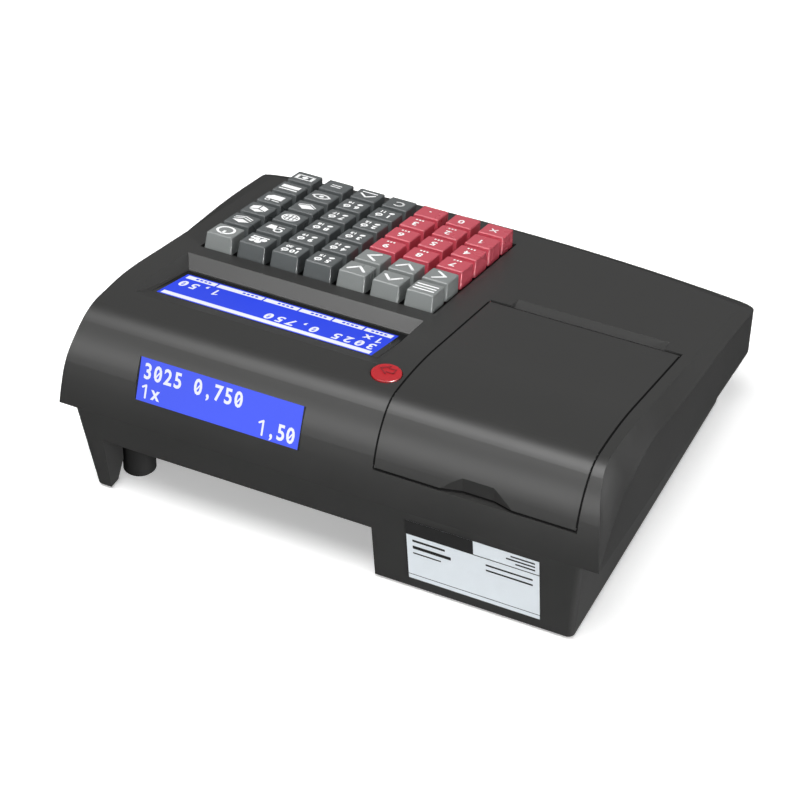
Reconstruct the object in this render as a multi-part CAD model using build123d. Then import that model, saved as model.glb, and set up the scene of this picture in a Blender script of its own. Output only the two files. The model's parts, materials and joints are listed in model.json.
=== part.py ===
"""Compact ticket register: inclined 42-key keyboard, sunk operator's display, customer's display in the
rear face, and a 58 mm receipt printer under a hinged lid.

Frame: millimetres, +Z up, origin on the table under the middle of the machine. The operator sits at -Y,
the customer stands at +Y, and +X is at the operator's right.
"""

from build123d import *
from math import atan, cos, degrees, hypot, radians, sin, sqrt, tan
import os

# ---------------------------------------------------------------- driving dimensions
FOOT_PROUD = 1.5            # rubber feet lift the case off the table
WALL = 2.5                  # moulded wall
BELT_HALF = 122.5           # widest half width, at the belt under the chamfer
BEVEL = 6.0                 # how far the chamfer round the top steps in
RIM_DROP = 1.4              # and how far it steps down at the front
FRONT_Y = -101.03           # belt at the middle of the front edge
FRONT_BOW_R = 900.0         # plan radius of the bowed front
FRONT_CORNER_R = 12.0
FRONT_BEVEL = (49.95, 0.54) # bevel along the front: its height at the front face and its slope
SLOPE = radians(12.45)      # keyboard incline
TOP_Y, TOP_Z = -96.3, 52.7  # front edge of the inclined top at the middle
INCLINE_END_Y = 40.8        # the incline starts to flatten here
REAR_BENDS = ((175.0, 12.45), (14.0, 44.0), (35.0, 31.0), (100.0, 12.0))   # radius, turn in degrees
PART_FRONT_Z = 30.2         # seam between the halves, at the front
PART_RISE = 0.0801          # and its rise towards the rear
REAR_FOOT_Y = 94.1          # the rear face of the lower case leans in to here at its foot
CREASE = (101.03, 46.39)    # y and z of the crease at the foot of the upper case
LOWER_HALF = 111.4          # half width of the lower case at its foot
LOWER_FRONT_Y = -92.5
LOWER_CORNER_R = 6.0
REAR_CORNER_R = 3.0
LOWER_DRAFT = 5.3           # degrees

KEY_PITCH_X, KEY_PITCH_S = 16.133, 15.8
KEY_X0, KEY_S0 = 95.85, 100.92          # first key: column 0, and the row next to the display
KEY_COLUMNS, KEY_ROWS = 7, 6
KEY_BASE, KEY_TOP = 13.6, 12.3
KEY_HEIGHT, KEY_SKIRT = 7.2, 1.0        # above and below the inclined top
KEY_TRAVEL = 3.0
STEM = 4.0
STEM_REACH = 7.6                        # foot of the stem below the top
PLATE_DEPTH, PLATE_T = 4.6, 2.0
BOARD_DEPTH, BOARD_T = 12.2, 1.6
WELL_GAP_X, WELL_GAP_S = 1.4, 0.8

COVER_X = (-110.9, -23.7)
COVER_GAP = 0.55
COVER_T = 2.5
COVER_S = 79.47                         # far edge of the lid, measured up the incline
COVER_FOOT_Z = 62.4
PULL_X, PULL_TOP_Z, PULL_DEPTH = -68.2, 69.5, 2.4         # finger pull in the lid's lower edge
PULL_FOOT_HALF, PULL_TOP_HALF = 15.8, 6.7
EXIT_X = (-103.2, -32.8)
EXIT_S = (71.3, 76.9)
HINGE_R, HINGE_PIN_R, PIN_FIT = 2.5, 1.2, 0.06

RECESS_X = (-8.4, 104.8)
RECESS_FAR_Y = 18.7
RECESS_FLOOR = ((24.8, 73.8), (57.8, 83.4))     # y and z of both ends of the sunk floor
RECESS_NEAR_Y = 65.0
RECESS_DRAFT = 0.7
LENS_X = (-5.2, 101.0)
LENS_T = 1.6

WINDOW_X = (9.5, 86.1)
WINDOW_Z = (59.5, 77.6)

BUTTON_X, BUTTON_Y, BUTTON_R, BUTTON_PROUD = -14.9, 69.4, 6.4, 0.6

BAY_DEPTH_Y = 60.0                      # front wall of the cable recess
ARCH_Z = 30.3
ARCH_X = (-22.8, 108.9)
LEG_INNER_X, LEG_FRONT_Y = 103.8, 83.2
CORNER_FOOT = (100.5, 75.3, 7.3)        # x, y and radius of the tall foot
FEET = ((-98.0, -78.0), (98.0, -78.0), (-98.0, 78.0))
FOOT_R = 7.0
SCREWS = ((105.5, 40.0), (-18.8, 40.0), (-24.0, -76.0), (-104.0, -76.0))
SCREW_DEPTH = 14.0                      # head seat below the seam

ROLL_Y, ROLL_Z, ROLL_R = 55.0, 42.0, 33.0
FRAME_X = (-100.3, -38.2)
FRAME_T = 2.2
PLATEN_Y, PLATEN_Z, PLATEN_R, PLATEN_SHAFT_R = -11.5, 53.5, 6.0, 2.0
SHAFT_FIT = 0.05
GEAR_MODULE, PLATEN_TEETH, MOTOR_TEETH = 1.0, 18, 12
GEAR_X, GEAR_T = -108.2, 4.0
MOTOR_Y, MOTOR_Z = PLATEN_Y, PLATEN_Z - GEAR_MODULE * (PLATEN_TEETH + MOTOR_TEETH) / 2 - 0.15

os.makedirs("parts", exist_ok=True)


# ---------------------------------------------------------------- frames of reference
def top_z(y):
    """Height of the inclined top plane."""
    return TOP_Z + (y - TOP_Y) * tan(SLOPE)


def incline(s=0.0, depth=0.0, x=0.0):
    """Plane on the inclined top, s up the slope from its front edge and depth below it."""
    y = TOP_Y + s * cos(SLOPE) + depth * sin(SLOPE)
    z = TOP_Z + s * sin(SLOPE) - depth * cos(SLOPE)
    return Plane(origin=(x, y, z), x_dir=(1, 0, 0), z_dir=(0, -sin(SLOPE), cos(SLOPE)))


def incline_yz(s, n):
    """y and z of a point s up the slope and n above the top plane."""
    return (TOP_Y + s * cos(SLOPE) - n * sin(SLOPE), TOP_Z + s * sin(SLOPE) + n * cos(SLOPE))


def x_prism(points, x_low, x_high):
    """Prism along X with a polygon of (y, z) points as its section."""
    face = make_face(Polyline(*points, close=True))
    return extrude(Plane.YZ.offset(x_low) * face, amount=x_high - x_low)


def span_box(x, y, z):
    """Box between two values on each axis."""
    size = [b - a for a, b in (x, y, z)]
    middle = [(a + b) / 2 for a, b in (x, y, z)]
    return Pos(*middle) * Box(*size)


# ---------------------------------------------------------------- outer forms
def skin_profile(inset=0.0):
    """Side view of the upper skin as a face in YZ: incline, crown, rear bends, then straight down."""
    path = Line((-140.0, top_z(-140.0)), (INCLINE_END_Y, top_z(INCLINE_END_Y)))
    end, heading = path @ 1, path % 1
    for radius, turn in REAR_BENDS:
        bend = JernArc(start=end, tangent=heading, radius=radius, arc_size=-turn)
        end, heading = bend @ 1, bend % 1
        path += bend
    path += Polyline(end, (end.X, -30.0), (-140.0, -30.0), (-140.0, top_z(-140.0)))
    face = make_face(path)
    if inset:
        face = offset(face, amount=-inset, kind=Kind.INTERSECTION)
    return face


def skin_prism(inset, x_low, x_high):
    return extrude(Plane.YZ.offset(x_low) * skin_profile(inset), amount=x_high - x_low)


def bowed_outline(half, front, corner, rear=140.0):
    """Plan outline with a bowed front edge and round front corners."""
    bow = half * half / (2 * FRONT_BOW_R)
    front_edge = ThreePointArc((-half, front + bow), (0, front), (half, front + bow))
    rest = Polyline((half, front + bow), (half, rear), (-half, rear), (-half, front + bow))
    face = make_face(front_edge + rest)
    corners = face.vertices().sort_by(Axis.Y)[:2]
    return fillet(corners, corner)


def front_bevel(inset):
    """Cutter turned about the axis of the bow. As the top rises towards the corners, the bevel widens there."""
    foot_z, slope = FRONT_BEVEL
    foot_z -= inset * hypot(1, slope)
    low, high = FRONT_Y - 8, FRONT_Y + 30
    rise = foot_z + slope * 30
    section = make_face(Polyline((low, foot_z - slope * 8), (high, rise), (low, rise), close=True))
    axis = Axis((0, FRONT_Y + FRONT_BOW_R, 0), (0, 0, 1))
    return revolve(Plane.YZ * section, axis=axis, revolution_arc=20).rotate(axis, -10)


def block(inset=0.0):
    """Upper form with the bevelled front, before the sides are bevelled."""
    outline = bowed_outline(BELT_HALF - inset, FRONT_Y + inset, FRONT_CORNER_R - inset)
    solid = extrude(outline, amount=120)
    solid = split(solid, bisect_by=incline(depth=inset), keep=Keep.BOTTOM)
    lid = solid.faces().sort_by(Axis.Z)[-1]
    rear = lid.edges().sort_by(Axis.Y)[-1]
    rim = [edge for edge in lid.edges() if edge != rear]
    step_in, step_down = (BEVEL, RIM_DROP) if not inset else (4.2, 1.0)
    solid = chamfer(rim, length=step_in, length2=step_down, reference=lid)
    solid -= front_bevel(inset)
    return solid & skin_prism(inset, -BELT_HALF - 5, BELT_HALF + 5)


# Sections of the side bevel from front to rear: y, then the half width and height of its upper edge, the
# height of its lower edge, and how far the section curves. It is straight at 0, and at 1 it runs out into the side.
BEVEL_SECTIONS = [
    (y, BELT_HALF - BEVEL, top_z(y), top_z(y) - drop, 0.0)
    for y, drop in ((-125, 1.1), (-90, 1.3), (-57, 2.0), (-39, 3.1), (-25, 4.4), (-10, 5.9), (8, 7.3), (25, 8.0),
                    (INCLINE_END_Y, 8.3))
] + [
    (52.3, 116.4, 85.1, 75.3, 0.15),
    (61.2, 116.2, 86.2, 74.2, 0.4),
    (70.0, 115.9, 86.9, 72.0, 0.7),
    (78.5, 115.9, 87.1, 68.8, 1.0),
    (86.5, 116.2, 84.6, 64.0, 1.0),
    (92.5, 117.6, 78.2, 58.0, 1.0),
    (97.0, 119.6, 69.5, 52.3, 1.0),
    (101.5, 120.9, 62.0, 46.0, 1.0),
]


def bevel_section(y, head_x, head_z, foot_z, curve):
    """Section across the side bevel: everything outside the line from its upper to its lower edge."""
    head, foot = Vector(head_x, head_z), Vector(BELT_HALF, foot_z)
    half_drop = (head_z - foot_z) / 2
    straight = (head + foot) / 2
    run_out = Vector(BELT_HALF - 0.12 * half_drop, straight.Y)
    control = straight + (run_out - straight) * curve
    line = Bezier(foot, control, head)
    low = foot + (foot - control).normalized() * 5
    high = head + (head - control).normalized() * 6
    outside = BELT_HALF + 12.0
    rest = Polyline(head, high, (high.X, 115.0), (outside, 115.0), (outside, low.Y), low, foot)
    return Plane.XZ.offset(-y) * make_face(line + rest)


def side_bevel():
    """Cutter of the bevel on the +X side: it widens along the keyboard and runs out down the rear edge."""
    return loft([bevel_section(*section) for section in BEVEL_SECTIONS])


def upper_form(inset, bevel):
    shift = 0.0 if not inset else 1.8
    cutter = Pos(-shift, 0, -shift) * bevel
    return block(inset) - cutter - mirror(cutter, about=Plane.YZ)


SEAM = Plane(origin=(0, FRONT_Y, PART_FRONT_Z), x_dir=(1, 0, 0), z_dir=(0, -PART_RISE, 1))
REAR_LEAN = (CREASE[0] - REAR_FOOT_Y) / (CREASE[1] - FOOT_PROUD)


def rear_plane(inset=0.0):
    """The leaning rear face of the lower case, with its normal to the rear."""
    y = REAR_FOOT_Y - inset * hypot(1, REAR_LEAN)
    return Plane(origin=(0, y, FOOT_PROUD), x_dir=(-1, 0, 0), z_dir=(0, 1, -REAR_LEAN))


def lower_form(inset=0.0):
    """Tapered tub, wider at the seam, cut by the leaning rear face."""
    outline = bowed_outline(LOWER_HALF - inset, LOWER_FRONT_Y + inset, LOWER_CORNER_R - inset)
    floor_z = FOOT_PROUD + inset
    tub = extrude(Pos(0, 0, floor_z) * outline, amount=60, taper=-LOWER_DRAFT)
    tub = split(tub, bisect_by=rear_plane(inset), keep=Keep.BOTTOM)
    if not inset:
        rear = tub.faces().sort_by(Axis.Y)[-1]
        tub = fillet([edge for edge in rear.edges() if abs(edge.tangent_at(0.5).Z) > 0.5], REAR_CORNER_R)
    return split(tub, bisect_by=SEAM, keep=Keep.BOTTOM)


# ---------------------------------------------------------------- cut-outs that several pieces share
def recess_cutter(grow=0.0):
    """Sunk place of the operator's display: sloping far wall, drafted sides, floor, run-out to the rear."""
    (far_y, far_z), (near_y, near_z) = RECESS_FLOOR
    run_out_z = 86.55
    section = make_face(Polyline(
        (RECESS_FAR_Y, top_z(RECESS_FAR_Y)), (far_y, far_z), (near_y, near_z),
        (RECESS_NEAR_Y, run_out_z), (RECESS_NEAR_Y + 3, 92.0), (RECESS_FAR_Y - 6, 92.0), close=True))
    if grow:
        section = offset(section, amount=grow, kind=Kind.INTERSECTION)
    prism = extrude(Plane.YZ.offset(-40) * section, amount=180)
    chord = (run_out_z - top_z(RECESS_FAR_Y)) / (RECESS_NEAR_Y - RECESS_FAR_Y)
    across = Plane(origin=(0, RECESS_FAR_Y - 20, top_z(RECESS_FAR_Y) - 20 * chord),
                   x_dir=(1, 0, 0), z_dir=(0, -1, -chord))
    low, high = RECESS_X
    depth, rise = 16.0, 8.0
    sides = make_face(Polyline(
        (low - grow + depth * RECESS_DRAFT, -depth), (high + grow - depth * RECESS_DRAFT, -depth),
        (high + grow + rise * RECESS_DRAFT, rise), (low - grow - rise * RECESS_DRAFT, rise), close=True))
    return prism & extrude(across * sides, amount=-100)


def floor_plane(depth=0.0):
    """Plane on the floor of the display's recess, origin at its far end and local y up the slope."""
    (far_y, far_z), (near_y, near_z) = RECESS_FLOOR
    run = hypot(near_y - far_y, near_z - far_z)
    up, out = (near_z - far_z) / run, (near_y - far_y) / run
    return Plane(origin=(0, far_y + depth * up, far_z - depth * out), x_dir=(1, 0, 0), z_dir=(0, -up, out))


def window_plane(depth=0.0):
    """Plane across the rear window, origin at the middle of its lower edge and local y up."""
    (low_y, low_z), (high_y, high_z) = window_edge(WINDOW_Z[0]), window_edge(WINDOW_Z[1])
    run = hypot(high_y - low_y, high_z - low_z)
    up, back = (high_z - low_z) / run, (low_y - high_y) / run
    x = (WINDOW_X[0] + WINDOW_X[1]) / 2
    origin = (x, low_y - depth * up, low_z - depth * back)
    return Plane(origin=origin, x_dir=(-1, 0, 0), z_dir=(0, up, back))


def bend_centres():
    """Centre and radius of each rear bend, in y and z."""
    y, z, heading = INCLINE_END_Y, top_z(INCLINE_END_Y), SLOPE
    centres = []
    for radius, turn in REAR_BENDS:
        centre = (y + radius * sin(heading), z - radius * cos(heading))
        heading -= radians(turn)
        y, z = centre[0] - radius * sin(heading), centre[1] + radius * cos(heading)
        centres.append((centre, radius, z))
    return centres


def window_edge(z):
    """Point of the rear skin at a height."""
    for (centre_y, centre_z), radius, end_z in bend_centres()[1:]:
        if z >= end_z:
            return (centre_y + sqrt(radius * radius - (z - centre_z) ** 2), z)
    return CREASE


WINDOW_W = WINDOW_X[1] - WINDOW_X[0]
WINDOW_H = hypot(*(a - b for a, b in zip(window_edge(WINDOW_Z[0]), window_edge(WINDOW_Z[1]))))


def window_box(width, height, depth, thickness):
    """Plate parallel to the rear window, its outer face at a depth behind it."""
    sketch = window_plane(depth) * Pos(0, WINDOW_H / 2) * Rectangle(width, height)
    return extrude(sketch, amount=-thickness)


def floor_box(x, s, depth, thickness):
    """Plate parallel to the recess floor between two values of x and of the distance up the floor."""
    centre = ((x[0] + x[1]) / 2, (s[0] + s[1]) / 2)
    sketch = floor_plane(depth) * Pos(*centre) * Rectangle(x[1] - x[0], s[1] - s[0])
    return extrude(sketch, amount=-thickness)


def incline_box(x, s, depth, thickness):
    """Plate parallel to the inclined top."""
    centre = ((x[0] + x[1]) / 2, (s[0] + s[1]) / 2)
    sketch = incline(depth=depth) * Pos(*centre) * Rectangle(x[1] - x[0], s[1] - s[0])
    return extrude(sketch, amount=-thickness)


def button_plane(depth=0.0):
    """Plane on the crown under the round button, normal to the skin."""
    (centre_y, centre_z), radius, _ = bend_centres()[0]
    lean = (BUTTON_Y - centre_y) / radius
    rise = sqrt(1 - lean * lean)
    reach = radius - depth
    origin = (BUTTON_X, centre_y + reach * lean, centre_z + reach * rise)
    return Plane(origin=origin, x_dir=(1, 0, 0), z_dir=(0, lean, rise))


KEY_XS = [KEY_X0 - KEY_PITCH_X * column for column in range(KEY_COLUMNS)]
KEY_SS = [KEY_S0 - KEY_PITCH_S * row for row in range(KEY_ROWS)]
WELL_X = (KEY_XS[-1] - KEY_BASE / 2 - WELL_GAP_X, KEY_XS[0] + KEY_BASE / 2 + WELL_GAP_X)
WELL_S = (KEY_SS[-1] - KEY_BASE / 2 - WELL_GAP_S, KEY_SS[0] + KEY_BASE / 2 + WELL_GAP_S)
LENS_S = (1.4, 34.0)
HINGE_YZ = incline_yz(COVER_S + HINGE_R, -HINGE_R)
X_AXIS = Rotation(0, 90, 0)


def x_rod(y, z, x_low, x_high, radius):
    """Cylinder along X."""
    return Pos((x_low + x_high) / 2, y, z) * X_AXIS * Cylinder(radius, x_high - x_low)


# ---------------------------------------------------------------- housing
def lid_band(inset, thickness, x_low, x_high, s_from, foot_z):
    """Strip of the skin under the lid: from s up the incline, over the crown, down to a height."""
    band = skin_prism(inset, x_low, x_high) - skin_prism(inset + thickness, x_low - 1, x_high + 1)
    keep = split(band, bisect_by=Plane(origin=incline(s_from).origin, z_dir=(0, cos(SLOPE), sin(SLOPE))),
                 keep=Keep.TOP)
    return split(keep, bisect_by=Plane(origin=(0, 0, foot_z), z_dir=(0, 0, 1)), keep=Keep.TOP)


def upper_case():
    bevel = side_bevel()
    outer = upper_form(0.0, bevel)
    shell = outer - upper_form(WALL, bevel)

    pan = recess_cutter(2.2) & outer
    collar_out = incline_box([WELL_X[0] - 2, WELL_X[1] + 2], [WELL_S[0] - 2, WELL_S[1] + 2], 0.4, PLATE_DEPTH - 0.4)
    walls = span_box((COVER_X[1] + COVER_GAP, COVER_X[1] + COVER_GAP + 2.6), (-22, 94), (46, 100))
    walls += span_box((COVER_X[0] - COVER_GAP - 2.6, COVER_X[0] - COVER_GAP), (-22, 94), (46, 100))
    sill = span_box((COVER_X[0] - COVER_GAP, COVER_X[1] + COVER_GAP), (88, 110), (COVER_FOOT_Z - 6, COVER_FOOT_Z - 1))
    sill &= span_box((-130, 0), (92, 110), (40, 70))
    posts = Part()
    for x, y in SCREWS:
        posts += Pos(x, y, 60) * Cylinder(3.4, 60)
    shell += (pan + collar_out + walls + posts) & outer
    shell += sill & (outer - skin_prism(WALL + 1.5, -150, 150))

    shell -= recess_cutter()
    shell -= floor_box(LENS_X, LENS_S, -0.5, 20)
    shell -= incline_box(WELL_X, WELL_S, -5, 30)
    shell -= window_box(WINDOW_W, WINDOW_H, -8, 20)
    shell -= button_plane(12) * Cylinder(BUTTON_R + 0.3, 40)
    shell -= incline_box([WELL_X[0] - 6, WELL_X[1] + 2.2], [WELL_S[0] - 2.2, WELL_S[1] + 2.2], PLATE_DEPTH, 30)

    opening = (COVER_X[0] - COVER_GAP, COVER_X[1] + COVER_GAP)
    shell -= lid_band(-8, 28, *opening, COVER_S - 0.35, COVER_FOOT_Z - 1.0)
    slot = [incline_yz(*p) for p in ((EXIT_S[0], 0), (EXIT_S[0] - 1, 4), (COVER_S + 1, 4), (COVER_S + 1, -20),
                                     (EXIT_S[1], -20), (EXIT_S[1], -3.2))]
    shell -= x_prism(slot, *EXIT_X)
    for x_low in (opening[1] - 0.5, opening[0] - 2.3):
        shell -= x_rod(*HINGE_YZ, x_low, x_low + 2.8, HINGE_PIN_R + PIN_FIT)
    for x, y in SCREWS:
        seam_z = PART_FRONT_Z + PART_RISE * (y - FRONT_Y)
        shell -= Pos(x, y, seam_z + 4) * Cylinder(1.5, 14)
    return split(shell, bisect_by=SEAM, keep=Keep.TOP)


def cable_recess(grow=0.0):
    """Space under the arch, open to the rear and below."""
    return span_box((ARCH_X[0] - grow, ARCH_X[1] + grow), (BAY_DEPTH_Y - grow, 140), (-5, ARCH_Z + grow))


def lower_case():
    outer = lower_form()
    leg = span_box((LEG_INNER_X, 125), (LEG_FRONT_Y, 140), (0, ARCH_Z)) & outer
    leg -= x_prism(((LEG_FRONT_Y - 1, 11.0), (LEG_FRONT_Y - 1, 0), (LEG_FRONT_Y + 6.0, 0)), 90, 130)
    side = span_box((ARCH_X[1] - 0.1, 125), (40, 140), (0, ARCH_Z)) & outer
    space = lower_form(WALL) - cable_recess(WALL)
    tub = outer - cable_recess() - space + leg + side

    foot_x, foot_y, foot_r = CORNER_FOOT
    tub += Pos(foot_x, foot_y, 23.3) * Cylinder(foot_r, 15)
    inside = lower_form(1.0)
    for x, y in SCREWS:
        seam_z = PART_FRONT_Z + PART_RISE * (y - FRONT_Y)
        post = Pos(x, y, 30) * Cylinder(4.9, 60) & inside
        post -= Pos(x, y, seam_z) * Cylinder(1.7, 60)
        post -= Pos(x, y, seam_z - SCREW_DEPTH - 30) * Cylinder(3.2, 60)
        tub -= Pos(x, y, 0) * Cylinder(3.2, 20)
        tub += post
    for x, y in BOARD_POSTS:
        tub += Pos(x, y, 6.8) * Cylinder(3.0, 6.4)
    for x, width, height in SOCKETS:
        tub -= span_box((x - width / 2 - 0.3, x + width / 2 + 0.3), (50, 65),
                        (MAIN_BOARD_Z[1] - 0.1, MAIN_BOARD_Z[1] + height + 0.3))
    for y_slot in range(-60, 20, 10):
        tub -= span_box((-88, -48), (y_slot - 1.2, y_slot + 1.2), (0, 5))
    return tub


# ---------------------------------------------------------------- keyboard
def keycap():
    """Hollow tapered cap with a square stem, its origin on the inclined top."""
    height = KEY_HEIGHT + KEY_SKIRT
    taper = degrees(atan((KEY_BASE - KEY_TOP) / 2 / height))
    cap = extrude(Pos(0, 0, -KEY_SKIRT) * RectangleRounded(KEY_BASE, KEY_BASE, 1.1), amount=height, taper=taper)
    cap = chamfer(cap.faces().sort_by(Axis.Z)[-1].edges(), 0.4)
    hollow = extrude(Pos(0, 0, -KEY_SKIRT) * Rectangle(KEY_BASE - 3, KEY_BASE - 3), amount=height - 2.0, taper=taper)
    stem_top = KEY_HEIGHT - 1.5
    stem = Pos(0, 0, (stem_top - STEM_REACH) / 2) * Box(STEM, STEM, stem_top + STEM_REACH)
    return cap - hollow + stem


def keyboard_plate():
    plate = incline_box([WELL_X[0] - 3, WELL_X[1] + 1.6], [WELL_S[0] - 2, WELL_S[1] + 2], PLATE_DEPTH, PLATE_T)
    hole = STEM + 0.3
    for x in KEY_XS:
        for s in KEY_SS:
            plate -= incline_box([x - hole / 2, x + hole / 2], [s - hole / 2, s + hole / 2], PLATE_DEPTH - 1, 6)
    return plate


def keyboard_board():
    """Contact board on four pillars, with a low rubber dome under each stem."""
    x = [WELL_X[0] - 1, WELL_X[1] - 1]
    board = incline_box(x, WELL_S, BOARD_DEPTH, BOARD_T)
    pillar_xs = [x[0] + 1.5, x[1] - 1.5]
    pillar_ss = [WELL_S[0] + 1.5, WELL_S[1] - 1.5]
    for px in pillar_xs:
        for ps in pillar_ss:
            board += incline_box([px - 1.5, px + 1.5], [ps - 1.5, ps + 1.5],
                                 PLATE_DEPTH + PLATE_T, BOARD_DEPTH - PLATE_DEPTH - PLATE_T)
    dome = extrude(Rectangle(7, 7), amount=1.2, taper=40)
    for key_x in KEY_XS:
        for s in KEY_SS:
            board += incline(s, BOARD_DEPTH, key_x) * dome
    return board


# ---------------------------------------------------------------- displays and button
def operator_lens():
    gap = 0.15
    return floor_box([LENS_X[0] + gap, LENS_X[1] - gap], [LENS_S[0] + gap, LENS_S[1] - gap], 0.0, LENS_T)


def operator_display():
    glass = floor_box([LENS_X[0] + 1, LENS_X[1] - 1], [LENS_S[0] + 1, LENS_S[1] - 1], LENS_T, 2.4)
    board = floor_box([LENS_X[0] - 2, LENS_X[1] + 0.6], [LENS_S[0] - 3, LENS_S[1] + 1], LENS_T + 2.4, 4.0)
    return glass + board


def customer_lens():
    return window_box(WINDOW_W - 0.3, WINDOW_H - 0.3, 0.3, LENS_T)


def customer_display():
    glass = window_box(WINDOW_W - 2, WINDOW_H - 2, 0.3 + LENS_T, 2.6)
    board = window_box(WINDOW_W + 4, WINDOW_H + 3, 0.3 + LENS_T + 2.6, 3.5)
    return glass + board


def release_button():
    """Round button with a dished top, two tabs that keep it in, and a stem."""
    cap = Pos(0, 0, BUTTON_PROUD - 3.0) * Cylinder(BUTTON_R, 6.0)
    cap = fillet(cap.edges().sort_by(Axis.Z)[-1], 0.4)
    dish_r = 60.0
    cap -= Pos(0, 0, BUTTON_PROUD + dish_r - 0.25) * Sphere(dish_r)
    tabs = Pos(0, 0, BUTTON_PROUD - 6.2) * (Cylinder(BUTTON_R + 1.2, 1.2) & Box(8, 40, 2))
    stem = Pos(0, 0, BUTTON_PROUD - 9.5) * Cylinder(2.0, 6.0)
    return button_plane() * (cap + tabs + stem)


# ---------------------------------------------------------------- printer
def printer_cover():
    low, high = COVER_X
    band = lid_band(0.0, COVER_T, low, high, COVER_S, COVER_FOOT_Z)
    band -= hinge_corner(low - 1, high + 1)
    band += x_rod(*HINGE_YZ, low, high, HINGE_R) & hinge_corner(low, high)
    for x in (low, EXIT_X[1]):
        width = EXIT_X[0] - low if x == low else high - EXIT_X[1]
        band += x_rod(*HINGE_YZ, x, x + width, HINGE_R)
    for x in (low, high - 2.0):
        rib = lid_band(COVER_T - 0.1, 6.5, x, x + 2.0, COVER_S + HINGE_R, COVER_FOOT_Z + 3)
        band += rib
    band += (lid_band(COVER_T - 0.1, 3.2, PULL_X - 19, PULL_X + 19, COVER_S + 90, COVER_FOOT_Z)
             & span_box((low, high), (80, 120), (0, 74)))
    band += x_rod(*HINGE_YZ, low - COVER_GAP - 1.9, low + 1, HINGE_PIN_R)
    band += x_rod(*HINGE_YZ, high - 1, high + COVER_GAP + 1.9, HINGE_PIN_R)
    band -= finger_pull()
    return band + tear_teeth()


def hinge_corner(low, high):
    """Square block round the hinge, where the lid's far edge is rounded."""
    corner = [incline_yz(s, n) for s in (COVER_S - 1, COVER_S + HINGE_R) for n in (1, -HINGE_R)]
    return x_prism([corner[0], corner[2], corner[3], corner[1]], low, high)


def finger_pull():
    """Wedge in the lower edge of the lid, deepest at its foot, with two slanted cheeks."""
    foot_y, top_y = window_edge(COVER_FOOT_Z)[0], window_edge(PULL_TOP_Z)[0]
    blank = span_box((PULL_X - 30, PULL_X + 30), (foot_y - 20, foot_y + 20), (COVER_FOOT_Z - 1, PULL_TOP_Z + 5))
    floor_up = Vector(0, top_y - foot_y + PULL_DEPTH, PULL_TOP_Z - COVER_FOOT_Z)
    floor = Plane(origin=(PULL_X, top_y, PULL_TOP_Z), x_dir=(-1, 0, 0), z_dir=Vector(-1, 0, 0).cross(floor_up))
    wedge = split(blank, bisect_by=floor, keep=Keep.TOP)
    for side in (-1, 1):
        foot = Vector(PULL_X + side * PULL_FOOT_HALF, foot_y, COVER_FOOT_Z)
        top = Vector(PULL_X + side * PULL_TOP_HALF, top_y, PULL_TOP_Z)
        deep = Vector(PULL_X + side * PULL_TOP_HALF, foot_y - PULL_DEPTH, COVER_FOOT_Z)
        outward = (top - foot).cross(deep - foot)
        if outward.X * side < 0:
            outward = -outward
        wedge = split(wedge, bisect_by=Plane(origin=foot, z_dir=outward), keep=Keep.BOTTOM)
    return wedge


def tear_teeth():
    """Saw teeth along the lid's edge over the paper slot."""
    pitch = 2.0
    low, high = EXIT_X[0] + 2.6, EXIT_X[1] - 2.6
    count = int((high - low) / pitch)
    points = [(low, 1.5)]
    for n in range(count):
        points += [(low + n * pitch, 0), (low + (n + 0.5) * pitch, -1.2)]
    points += [(low + count * pitch, 0), (low + count * pitch, 1.5)]
    edge = make_face(Polyline(*points, close=True))
    return extrude(incline(s=COVER_S, depth=HINGE_R) * edge, amount=0.9)


def frame_cheek(x):
    """Side plate of the printer: round the roll at the rear, up to the platen at the front."""
    roll = Pos(x + FRAME_T / 2, ROLL_Y, ROLL_Z) * X_AXIS * Cylinder(ROLL_R + 2, FRAME_T)
    nose = x_prism(((ROLL_Y, 7.0), (ROLL_Y, 73.0), (20, 66.5), (-6, 65.0), (-22, 61.5), (-22, 46), (-16, 34), (8, 20)),
                   x, x + FRAME_T)
    lip = x_prism(((ROLL_Y, 40), (ROLL_Y + ROLL_R + 2, 42), (ROLL_Y + ROLL_R + 2, 60), (ROLL_Y, 73)), x, x + FRAME_T)
    return roll + nose + lip


def printer_frame():
    low, high = FRAME_X
    frame = frame_cheek(low - FRAME_T) + frame_cheek(high)
    trough = x_rod(ROLL_Y, ROLL_Z, low, high, ROLL_R + 2) - x_rod(ROLL_Y, ROLL_Z, low - 1, high + 1, ROLL_R)
    trough -= span_box((low - 1, high + 1), (-60, 140), (ROLL_Z, 120))
    frame += trough
    frame += span_box((low, high), (ROLL_Y + ROLL_R, ROLL_Y + ROLL_R + 2), (ROLL_Z, 60))
    frame += span_box((low, high), (ROLL_Y - ROLL_R - 2, ROLL_Y - ROLL_R), (ROLL_Z, 52))
    guide = ((ROLL_Y - ROLL_R - 2, 50), (ROLL_Y - ROLL_R, 52), (-4, 49), (-4, 47))
    frame += x_prism(guide, low, high)
    for x in (low - FRAME_T, high):
        frame += x_rod(PLATEN_Y, PLATEN_Z, x, x + FRAME_T, 5.0)
    frame -= x_rod(PLATEN_Y, PLATEN_Z, low - 10, high + 10, PLATEN_SHAFT_R + SHAFT_FIT)
    for x in (low + 6, high - 6):
        frame += span_box((x - 3, x + 3), (ROLL_Y - 3, ROLL_Y + 3), (FOOT_PROUD + WALL, ROLL_Z - ROLL_R))
    frame -= x_rod(MOTOR_Y, MOTOR_Z, low - 10, low + 1, 4.0)
    return frame


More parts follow.
